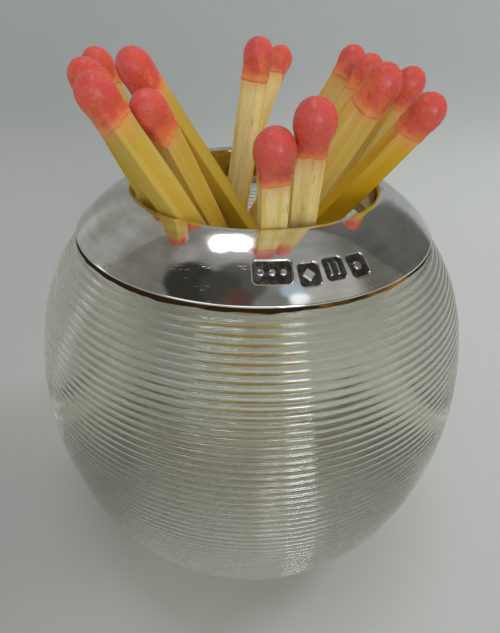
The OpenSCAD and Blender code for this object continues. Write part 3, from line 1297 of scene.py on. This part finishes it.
        # The sleeve's rows, which the silver tints amber as a painted reflection of the matches.
        first = len(outer) + self.SLEEVE_STEPS
        last = first + self.LIP_STEPS + 2
        add_values(obj, "sleeve", [float(first <= i // count < last) for i in range(len(verts))])
        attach(obj, "root")
        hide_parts("silver_collar")
        LOG.info("silver_dome: %d faces, %d marks", len(faces), len(self.marks))
        return obj


# ---- The matches ----


@dataclass(frozen=True)
class MatchSizes:
    """Sizes of one match, in metres."""

    stick_w: float = 2.1 * MM
    match_l: float = 39 * MM
    head_d: float = 2.9 * MM
    head_l: float = 3.7 * MM
    neck_d: float = 2.45 * MM
    full_at: float = 0.58
    wood_in_head: float = 0.9 * MM
    bevel: float = 0.09 * MM


class Match:
    """One wooden match, placed from the corners of its CAD stick."""

    RINGS = 36
    ROUND = 40
    STICK_ROWS = 70
    SAME_PLACE = 0.01 * MM
    # A stick's corners: how round the bevel is, and the wander of its width and depth, each
    # with its waves in a metre
    BEVEL_BULGE = 0.18
    BEVEL_WANDER, BEVEL_WAVES, PULL, PULL_WAVES = 0.6, 180, 0.03 * MM, 120
    # How far apart the wanders of two corners lie in their patterns, the reach of the random
    # points that shift the patterns of a stick and a head, and the first match's seed less one
    BEVEL_APART, PULL_APART, STICK_REACH, HEAD_REACH, SEED = 9.1, 7.3, 50, 90, 100
    # How much of the gold is gone at the head and where that starts, how dark a stick is at its foot,
    # which is painted shade in the shaded well, and where that ends, as shares of its length
    GOLD_LOST, LOST_FROM, FOOT_AGED, AGED_TO = 0.3, 0.55, 0.85, 0.6
    # The stain below a head: strength, how far down it starts, and over what length
    STAIN, STAIN_DOWN, STAIN_OVER = 0.7, 1.5 * MM, 1.9 * MM
    # The square foot of a head: how far it stands out, where it ends, and over what length
    DIP_T, SQUARE_L, ROUNDING_L = 0.09 * MM, 0.5 * MM, 1.5 * MM
    # The ragged edge: least and most slant, and its wander as size and waves
    SLANT = (0.1, 0.32)
    RAGGED = ((0.20 * MM, 2.3), (0.08 * MM, 6))
    # The lumps of a head: size, waves round, waves up, and the share of its length over
    # which they come up from nothing
    LUMP, LUMP_ROUND, LUMP_UP, LUMP_FADE = 0.05 * MM, 1.6, 900, 0.25
    # The spacing of a head's rings, its smallest ring, and how far its foot goes into the stick
    RING_SPACING, TIP_R, SUNK = 1.15, 0.04 * MM, 0.05 * MM
    # How golden each stick's wood is, from 0 to 1, and past it for the most golden
    GOLD = (0.9, 0.9, 0.9, 1.0, 0.85, 0.15, 0.2, 0.1, 0.15, 0.7, 0.8, 0.95, 0.85, 1.5)
    # How dark and olive it is, from 0 to 1
    AGED = (0.60, 0.60, 0.50, 0.70, 0.45, 0.0, 0.0, 0.0, 0.0, 0.15, 0.20, 0.25, 0.30, 0.30)

    def __init__(self, number: int, sizes: MatchSizes) -> None:
        """Finds the match's place and starts its own random draws.

        Args:
            number: Its number, from 1.
            sizes: The sizes of every match.
        """
        self.number = number
        self.s = sizes
        self.rng = random.Random(self.SEED + number)
        self.place = self._read_place()

    def _read_place(self) -> Matrix:
        """Finds the stick's own frame: the foot's middle, and Z along the stick.

        Returns:
            The frame.
        """
        name = f"match_stick_{self.number:02d}"
        node = frame["nodes"][name]
        mesh_obj = node if isinstance(node, Object) else bpy.data.objects[name]
        corners: list[Vector] = []
        for vert in mesh_obj.data.vertices:
            co = mesh_obj.matrix_world @ vert.co
            if all((co - c).length > self.SAME_PLACE for c in corners):
                corners.append(co)
        foot = min(corners, key=lambda c: c.z)
        edges = sorted((c - foot for c in corners if c is not foot), key=lambda e: e.length)
        ax, ay = edges[0].normalized(), edges[1].normalized()
        az = ax.cross(ay)
        middle = sum(corners, Vector()) / len(corners)
        if az.dot(middle - foot) < 0:
            ax, ay, az = ay, ax, -az
        start = foot + edges[0] / 2 + edges[1] / 2
        basis = Matrix((ax, ay, az)).transposed().to_4x4()
        basis.translation = start
        return basis

    def _stick(self, finish: Material) -> Object:
        """The split stick: bevelled corners that wander a little along its length.

        Args:
            finish: The wood.

        Returns:
            The stick.
        """
        s = self.s
        half, length = s.stick_w / 2, s.match_l - s.head_l + s.wood_in_head
        seed = random_point(self.rng, self.STICK_REACH)
        verts: list[Point3] = []
        for k in range(self.STICK_ROWS + 1):
            z = length * k / self.STICK_ROWS
            for q, (sx, sy) in enumerate(((1, 1), (-1, 1), (-1, -1), (1, -1))):
                wander = noise.noise(seed + Vector((q * self.BEVEL_APART, 0, z * self.BEVEL_WAVES)))
                cut = s.bevel * (1 + self.BEVEL_WANDER * wander)
                wander = noise.noise(seed + Vector((0, q * self.PULL_APART, z * self.PULL_WAVES)))
                pull = self.PULL * (0.5 + wander)
                x, y = sx * (half - max(0.0, pull)), sy * (half - max(0.0, pull))
                first, second = (x, y - sy * cut), (x - sx * cut, y)
                if q in (1, 3):
                    first, second = second, first
                bulge = self.BEVEL_BULGE * cut
                mid = ((first[0] + second[0]) / 2 + sx * bulge, (first[1] + second[1]) / 2 + sy * bulge)
                verts += [(px, py, z) for px, py in (first, mid, second)]
        ring = 12
        faces = grid_faces(self.STICK_ROWS, ring)
        faces.append(tuple(range(ring - 1, -1, -1)))
        faces.append(tuple(range(self.STICK_ROWS * ring, self.STICK_ROWS * ring + ring)))
        obj = make_object(f"stick_{self.number:02d}", verts, faces, finish, smooth=False)
        dip_z = s.match_l - s.head_l
        gold, olive_tone_and_painted_shade = self.GOLD[self.number - 1], self.AGED[self.number - 1]
        up = [v[2] / dip_z for v in verts]
        lost = [smooth((t - self.LOST_FROM) / (1 - self.LOST_FROM)) for t in up]
        add_values(obj, "gold", [gold * (1.0 - self.GOLD_LOST * t) for t in lost])
        # Painted shade: darker and more olive towards the foot, down in the shaded well.
        low = [1 - smooth(t / self.AGED_TO) for t in up]
        add_values(obj, "olive_tone_and_painted_shade", [olive_tone_and_painted_shade + (self.FOOT_AGED - olive_tone_and_painted_shade) * t for t in low])
        near = [smooth((v[2] - dip_z + self.STAIN_DOWN) / self.STAIN_OVER) for v in verts]
        add_values(obj, "stain", [self.STAIN * t for t in near])
        obj.matrix_world = self.place
        return obj

    def _head_radius(self, z: float, theta: float) -> float:
        """Radius of the head: square low down, then round.

        Args:
            z: Height along the match.
            theta: Angle round, in radians.

        Returns:
            The radius.
        """
        s = self.s
        base, length = s.match_l - s.head_l, s.head_l
        full = base + length * s.full_at
        if z <= full:
            t = max(0.0, (z - base) / (full - base))
            egg = s.neck_d / 2 + (s.head_d - s.neck_d) / 2 * math.sin(math.pi / 2 * t)
        else:
            t = min(1.0, (z - full) / (s.match_l - full))
            egg = s.head_d / 2 * math.sqrt(max(0.0, 1 - t * t))
        square = (s.stick_w / 2 + self.DIP_T) * square_reach(theta)
        rounding = smooth((z - base - self.SQUARE_L) / self.ROUNDING_L)
        return square * (1 - rounding) + egg * rounding

    def _head(self, finish: Material) -> Object:
        """The dipped head with its ragged lower edge and soft lumps.

        Args:
            finish: The dip.

        Returns:
            The head.
        """
        s, rng, last = self.s, self.rng, self.RINGS - 1
        base = s.match_l - s.head_l
        slant, slant_at = rng.uniform(*self.SLANT) * MM, rng.uniform(0, 2 * math.pi)
        seed = random_point(rng, self.HEAD_REACH)
        verts: list[Point3] = []
        for k in range(self.RINGS):
            t = k / last
            for theta in even_angles(self.ROUND):
                way = Vector((math.cos(theta), math.sin(theta), 0))
                low = base + slant * math.cos(theta - slant_at)
                low += sum(size * noise.noise(seed + way * waves) for size, waves in self.RAGGED)
                z = low + (s.match_l - low) * math.sin(t * math.pi / 2) ** self.RING_SPACING
                lump = noise.noise(seed + way * self.LUMP_ROUND + Vector((0, 0, z * self.LUMP_UP)))
                r = self._head_radius(z, theta) + self.LUMP * lump * smooth(t / self.LUMP_FADE)
                if k == 0:
                    r = (s.stick_w / 2 - self.SUNK) * square_reach(theta)
                if k == last:
                    r = self.TIP_R
                verts.append((r * way.x, r * way.y, z))
        faces = grid_faces(last, self.ROUND)
        faces.append(tuple(last * self.ROUND + j for j in range(self.ROUND)))
        obj = make_object(f"head_{self.number:02d}", verts, faces, finish)
        add_values(obj, "tip", [min(1.0, max(0.0, (v[2] - base) / s.head_l)) for v in verts])
        obj.matrix_world = self.place
        return obj

    def build(self, finishes: Finishes) -> list[Object]:
        """Makes the stick and the head in place of their CAD nodes.

        Args:
            finishes: The scene's materials.

        Returns:
            The stick and the head.
        """
        stick = self._stick(finishes.wood)
        head = self._head(finishes.head)
        for obj, node, slot in ((stick, f"match_stick_{self.number:02d}", Slot.WOOD),
                                (head, f"match_head_{self.number:02d}", Slot.HEAD)):
            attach(obj, "root")
            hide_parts(node)
        LOG.info("match %02d: %s, %s", self.number, stick.name, head.name)
        return [stick, head]


# ---- Studio ----


@dataclass(frozen=True)
class CameraPose:
    """Where the photograph was taken from, in metres and degrees."""

    place: Point3 = (-0.21 * MM, -42.6 * MM, 56.72 * MM)
    pitch: float = 35.52
    roll: float = 1.17
    focal_px: float = 428.45
    frame_h_px: int = 633
    sensor: float = 36.0
    clip: Point2 = (1 * MM, 20.0)

    def build(self) -> Object:
        """Makes the camera and sets it as the scene's.

        Returns:
            The camera.
        """
        data = bpy.data.cameras.new("camera")
        data.sensor_fit = "VERTICAL"
        data.sensor_height = self.sensor
        data.lens = self.focal_px / self.frame_h_px * self.sensor
        data.clip_start, data.clip_end = self.clip
        obj = bpy.data.objects.new("camera", data)
        bpy.context.scene.collection.objects.link(obj)
        pitch, roll = math.radians(self.pitch), math.radians(self.roll)
        ahead = Vector((0, math.cos(pitch), -math.sin(pitch)))
        right = Vector((1, 0, 0))
        up = right.cross(ahead)
        side = right * math.cos(roll) + up * math.sin(roll)
        top = -right * math.sin(roll) + up * math.cos(roll)
        basis = Matrix((side, top, -ahead)).transposed().to_4x4()
        basis.translation = Vector(self.place)
        obj.matrix_world = basis
        bpy.context.scene.camera = obj
        return obj


@dataclass(frozen=True)
class SoftLight:
    """An area light that looks at a point."""

    name: str
    place: Point3
    width: float
    height: float
    watts: float
    aim: Point3 = (0.0, 0.0, 25 * MM)

    def build(self) -> Object:
        """Makes the light, unseen by the glass and the silver, which mirror the patches.

        Returns:
            The light.
        """
        data = bpy.data.lights.new(self.name, "AREA")
        data.shape, data.size, data.size_y = "RECTANGLE", self.width, self.height
        data.energy = self.watts
        obj = bpy.data.objects.new(self.name, data)
        bpy.context.scene.collection.objects.link(obj)
        obj.location = self.place
        way = Vector(self.aim) - Vector(self.place)
        obj.rotation_euler = way.to_track_quat("-Z", "Y").to_euler()
        obj.visible_glossy = False
        obj.visible_transmission = False
        return obj


@dataclass(frozen=True)
class SkyPatch:
    """A soft round patch of the surroundings, that the silver and the glass mirror.

    It has its full tone within the inner angle of its way and none past the outer one.
    """

    way: Point3
    inner: float
    outer: float
    tone: Colour


class Studio:
    """The floor with its curved back, the lights and the surroundings."""

    PATCHES = (
        SkyPatch((0.10, 0.10, 0.99), 10, 32, (0.30, 0.30, 0.29, 1.0)),
        SkyPatch((0.56, -0.24, 0.79), 8, 22, (0.42, 0.42, 0.40, 1.0)),
        SkyPatch((-0.45, 0.05, 0.89), 3, 8, (0.34, 0.31, 0.30, 1.0)),
        SkyPatch((-0.10, -0.30, 0.95), 10, 14, (0.080, 0.080, 0.076, 1.0)),
        SkyPatch((-0.80, 0.30, 0.45), 20, 34, (0.215, 0.21, 0.185, 1.0)),
        SkyPatch((0.66, 0.62, 0.42), 12, 26, (0.135, 0.135, 0.125, 1.0)),
        SkyPatch((-0.46, -0.24, 0.85), 11, 13, (0.030, 0.031, 0.026, 1.0)),
        SkyPatch((-0.44, -0.40, 0.80), 10, 12, (0.032, 0.031, 0.024, 1.0)),
        SkyPatch((-0.24, -0.33, 0.91), 8, 10, (0.050, 0.050, 0.044, 1.0)),
        SkyPatch((-0.12, -0.47, 0.87), 5, 9, (0.095, 0.052, 0.044, 1.0)),
        SkyPatch((0.30, -0.34, 0.89), 3, 7, (0.40, 0.47, 0.55, 1.0)),
        SkyPatch((0.36, -0.42, 0.83), 2.5, 6, (0.95, 1.0, 1.05, 1.0)),
        SkyPatch((-0.21, 0.11, 0.97), 2.5, 5, (11.0, 11.2, 11.5, 1.0)),
        SkyPatch((-0.10, 0.11, 0.99), 2.5, 5, (11.0, 11.2, 11.5, 1.0)),
        SkyPatch((0.05, -0.90, 0.43), 16, 24, (1.4, 1.4, 1.37, 1.0)),
        SkyPatch((-0.55, -0.80, 0.35), 12, 22, (1.35, 1.35, 1.32, 1.0)),
        SkyPatch((0.20, -0.95, 0.20), 10, 20, (0.9, 0.9, 0.88, 1.0)),
        SkyPatch((0.38, -0.92, 0.05), 4, 8, (10.0, 10.1, 10.2, 1.0)),
        SkyPatch((0.37, -0.90, 0.20), 4, 8, (9.0, 9.1, 9.2, 1.0)),
        SkyPatch((0.36, -0.86, 0.36), 3, 8, (3.5, 3.55, 3.6, 1.0)),
        SkyPatch((-0.95, 0.28, 0.14), 8, 14, (1.8, 1.85, 1.85, 1.0)),
    )

    LIGHTS = (
        SoftLight("light_top", (0.12, 0.02, 1.20), 0.45, 0.40, 2.3),
        SoftLight("light_right", (0.42, 0.16, 0.38), 0.16, 0.16, 1.3),
        SoftLight("light_left", (-0.75, 0.22, 0.30), 0.25, 0.40, 0.4),
    )

    # The sheet: half width, reach to the front, start and radius of the curve, top, and height
    HALF_W, REACH, BACK, BEND, TOP, LOW = 2.2, 1.6, 0.26, 0.30, 1.6, -0.06 * MM
    # The surroundings: below and above, the heights between which they change, and the
    # plain tone where the camera sees them
    GROUND, SKY, CHANGE = (0.34, 0.34, 0.31, 1.0), (0.17, 0.17, 0.155, 1.0), (0.05, 0.40)
    SEEN = (0.40, 0.42, 0.41, 1.0)

    def __init__(self, finishes: Finishes) -> None:
        """Keeps the scene's materials."""
        self.finishes = finishes

    def _floor(self) -> None:
        """One sheet: flat under the object, then curved up behind it."""
        line = [(-self.REACH, self.LOW), (self.BACK, self.LOW)]
        line += arc((self.BACK, self.LOW + self.BEND), self.BEND, -90, 0, 15)[1:]
        line += [(self.BACK + self.BEND, self.TOP)]
        verts = [(x, y, z) for y, z in line for x in (-self.HALF_W, self.HALF_W)]
        faces = [(a, a + 1, a + 3, a + 2) for a in range(0, 2 * len(line) - 2, 2)]
        sheet = make_object("studio_floor", verts, faces, self.finishes.floor)

    def _world(self) -> None:
        """Grey surroundings with their patches, and a plain tone where the camera sees them."""
        world = bpy.data.worlds.new("surroundings")
        bpy.context.scene.world = world
        world.use_nodes = True
        tree = Tree(world.node_tree)
        way = tree.add("TexCoord").outputs["Generated"]
        sky = tree.mix(tree.ramp(tree.part(way, "Z"), *self.CHANGE), self.GROUND, self.SKY)
        for patch in self.PATCHES:
            aim = tuple(Vector(patch.way).normalized())
            turn = tree.add("VectorMath", {0: way, 1: aim}, operation="DOT_PRODUCT").outputs["Value"]
            inner, outer = (math.cos(math.radians(a)) for a in (patch.inner, patch.outer))
            sky = tree.mix(tree.ramp(turn, outer, inner), sky, patch.tone)
        seen = tree.add("Background", {"Color": self.SEEN})
        lit = tree.add("Background", {"Color": sky})
        camera = tree.add("LightPath").outputs["Is Camera Ray"]
        both = tree.add("MixShader", {0: camera, 1: lit.outputs[0], 2: seen.outputs[0]})
        tree.link(both.outputs[0], tree.add("OutputWorld").inputs["Surface"])

    def build(self) -> None:
        """Makes the floor, the lights and the surroundings."""
        self._floor()
        for light in self.LIGHTS:
            light.build()
        self._world()
        bpy.context.scene.view_settings.view_transform = "Standard"
        LOG.info("studio: floor and %d lights", len(self.LIGHTS))


def main() -> None:
    """Builds the whole scene in order."""
    logging.basicConfig(level=logging.INFO, format="%(name)s: %(message)s")
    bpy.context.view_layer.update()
    CameraPose().build()
    finishes = Finishes()
    sizes = TurnedSizes()
    GlassGlobe(sizes).build(finishes.glass)
    Cement(sizes).build(finishes.cement)
    SilverCollar(sizes).build(finishes.silver)
    match_sizes = MatchSizes()
    for number in range(1, MATCH_COUNT + 1):
        Match(number, match_sizes).build(finishes)
    Studio(finishes).build()


if __name__ == "__main__":
    main()
